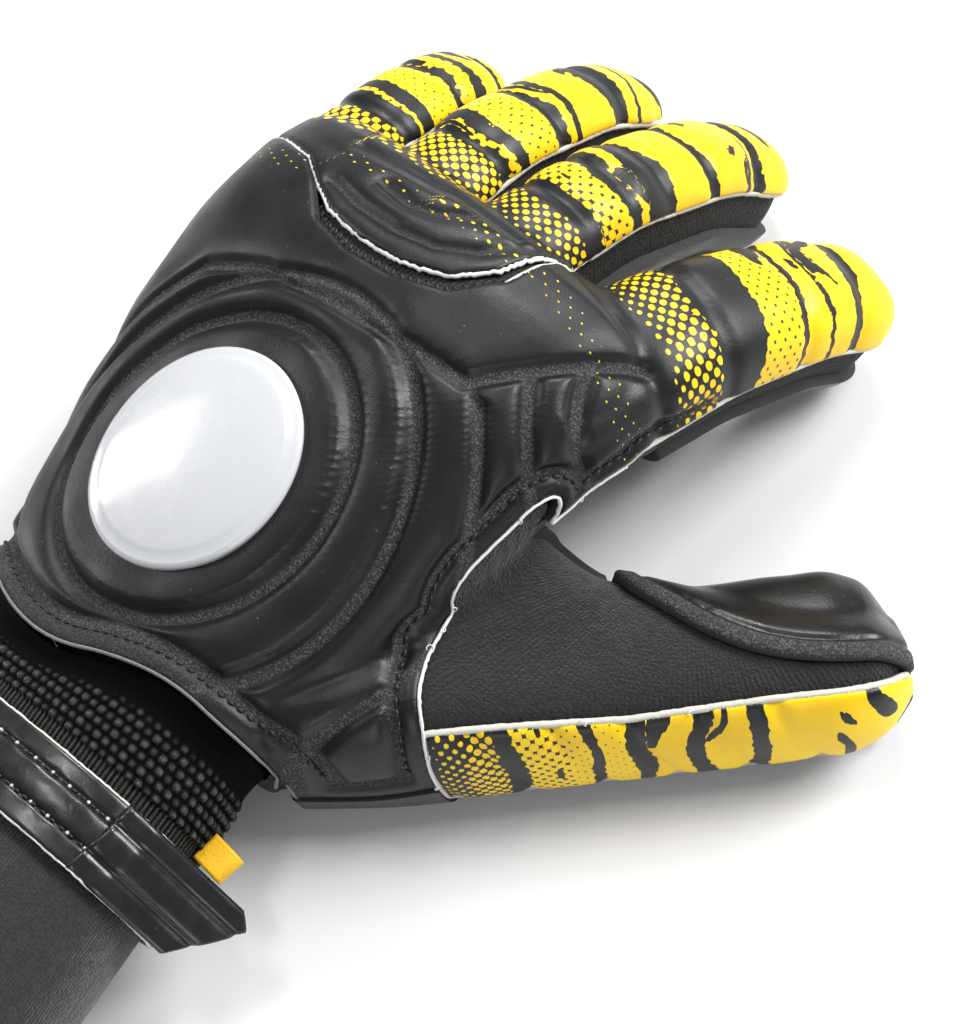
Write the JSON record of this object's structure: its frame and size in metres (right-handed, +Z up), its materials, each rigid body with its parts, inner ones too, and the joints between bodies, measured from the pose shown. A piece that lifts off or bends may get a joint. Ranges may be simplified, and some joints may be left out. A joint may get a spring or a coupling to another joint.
{
  "type": "soccer goalkeeper glove",
  "caption": "Left-hand goalkeeper glove with padded latex back and palm, stretch side strips, knitted wristband, wrist strap and open cuff, shaped around a half-closed hand.",
  "frame": {"origin": "middle of the resting glove's bounding box, on the surface that it lies on", "axes": "+Y towards the fingertips, +Z up from the surface through the back of the hand, +X to the thumb side"},
  "size_m": [0.1959, 0.2707, 0.0731],
  "materials": {
    "back_pad": "satin black latex foam, finely creased",
    "finger_pad": "yellow and black printed latex foam, satin",
    "stretch_fabric": "black stretch mesh",
    "badge": "white, glossy and domed",
    "latex": "smooth black latex, satin",
    "knit": "chunky black knit",
    "strap": "satin black, with pale raw edges",
    "tab": "folded yellow webbing",
    "jersey": "fine black jersey"
  },
  "bodies": {
    "root": {"back_panel": "back_pad", "knuckle_panel": "finger_pad", "knuckle_channel": "stretch_fabric", "badge": "badge", "palm": "latex", "index_side_strip": "stretch_fabric", "index_middle_strip": "stretch_fabric", "middle_ring_strip": "stretch_fabric", "ring_little_strip": "stretch_fabric", "little_side_strip": "stretch_fabric", "thumb_back": "finger_pad", "thumb_web": "stretch_fabric", "thumb_palm": "latex", "thumb_side_strip": "stretch_fabric", "wristband": "knit", "strap": "strap", "pull_tab": "tab", "cuff": "jersey"}
  },
  "joints": []
}
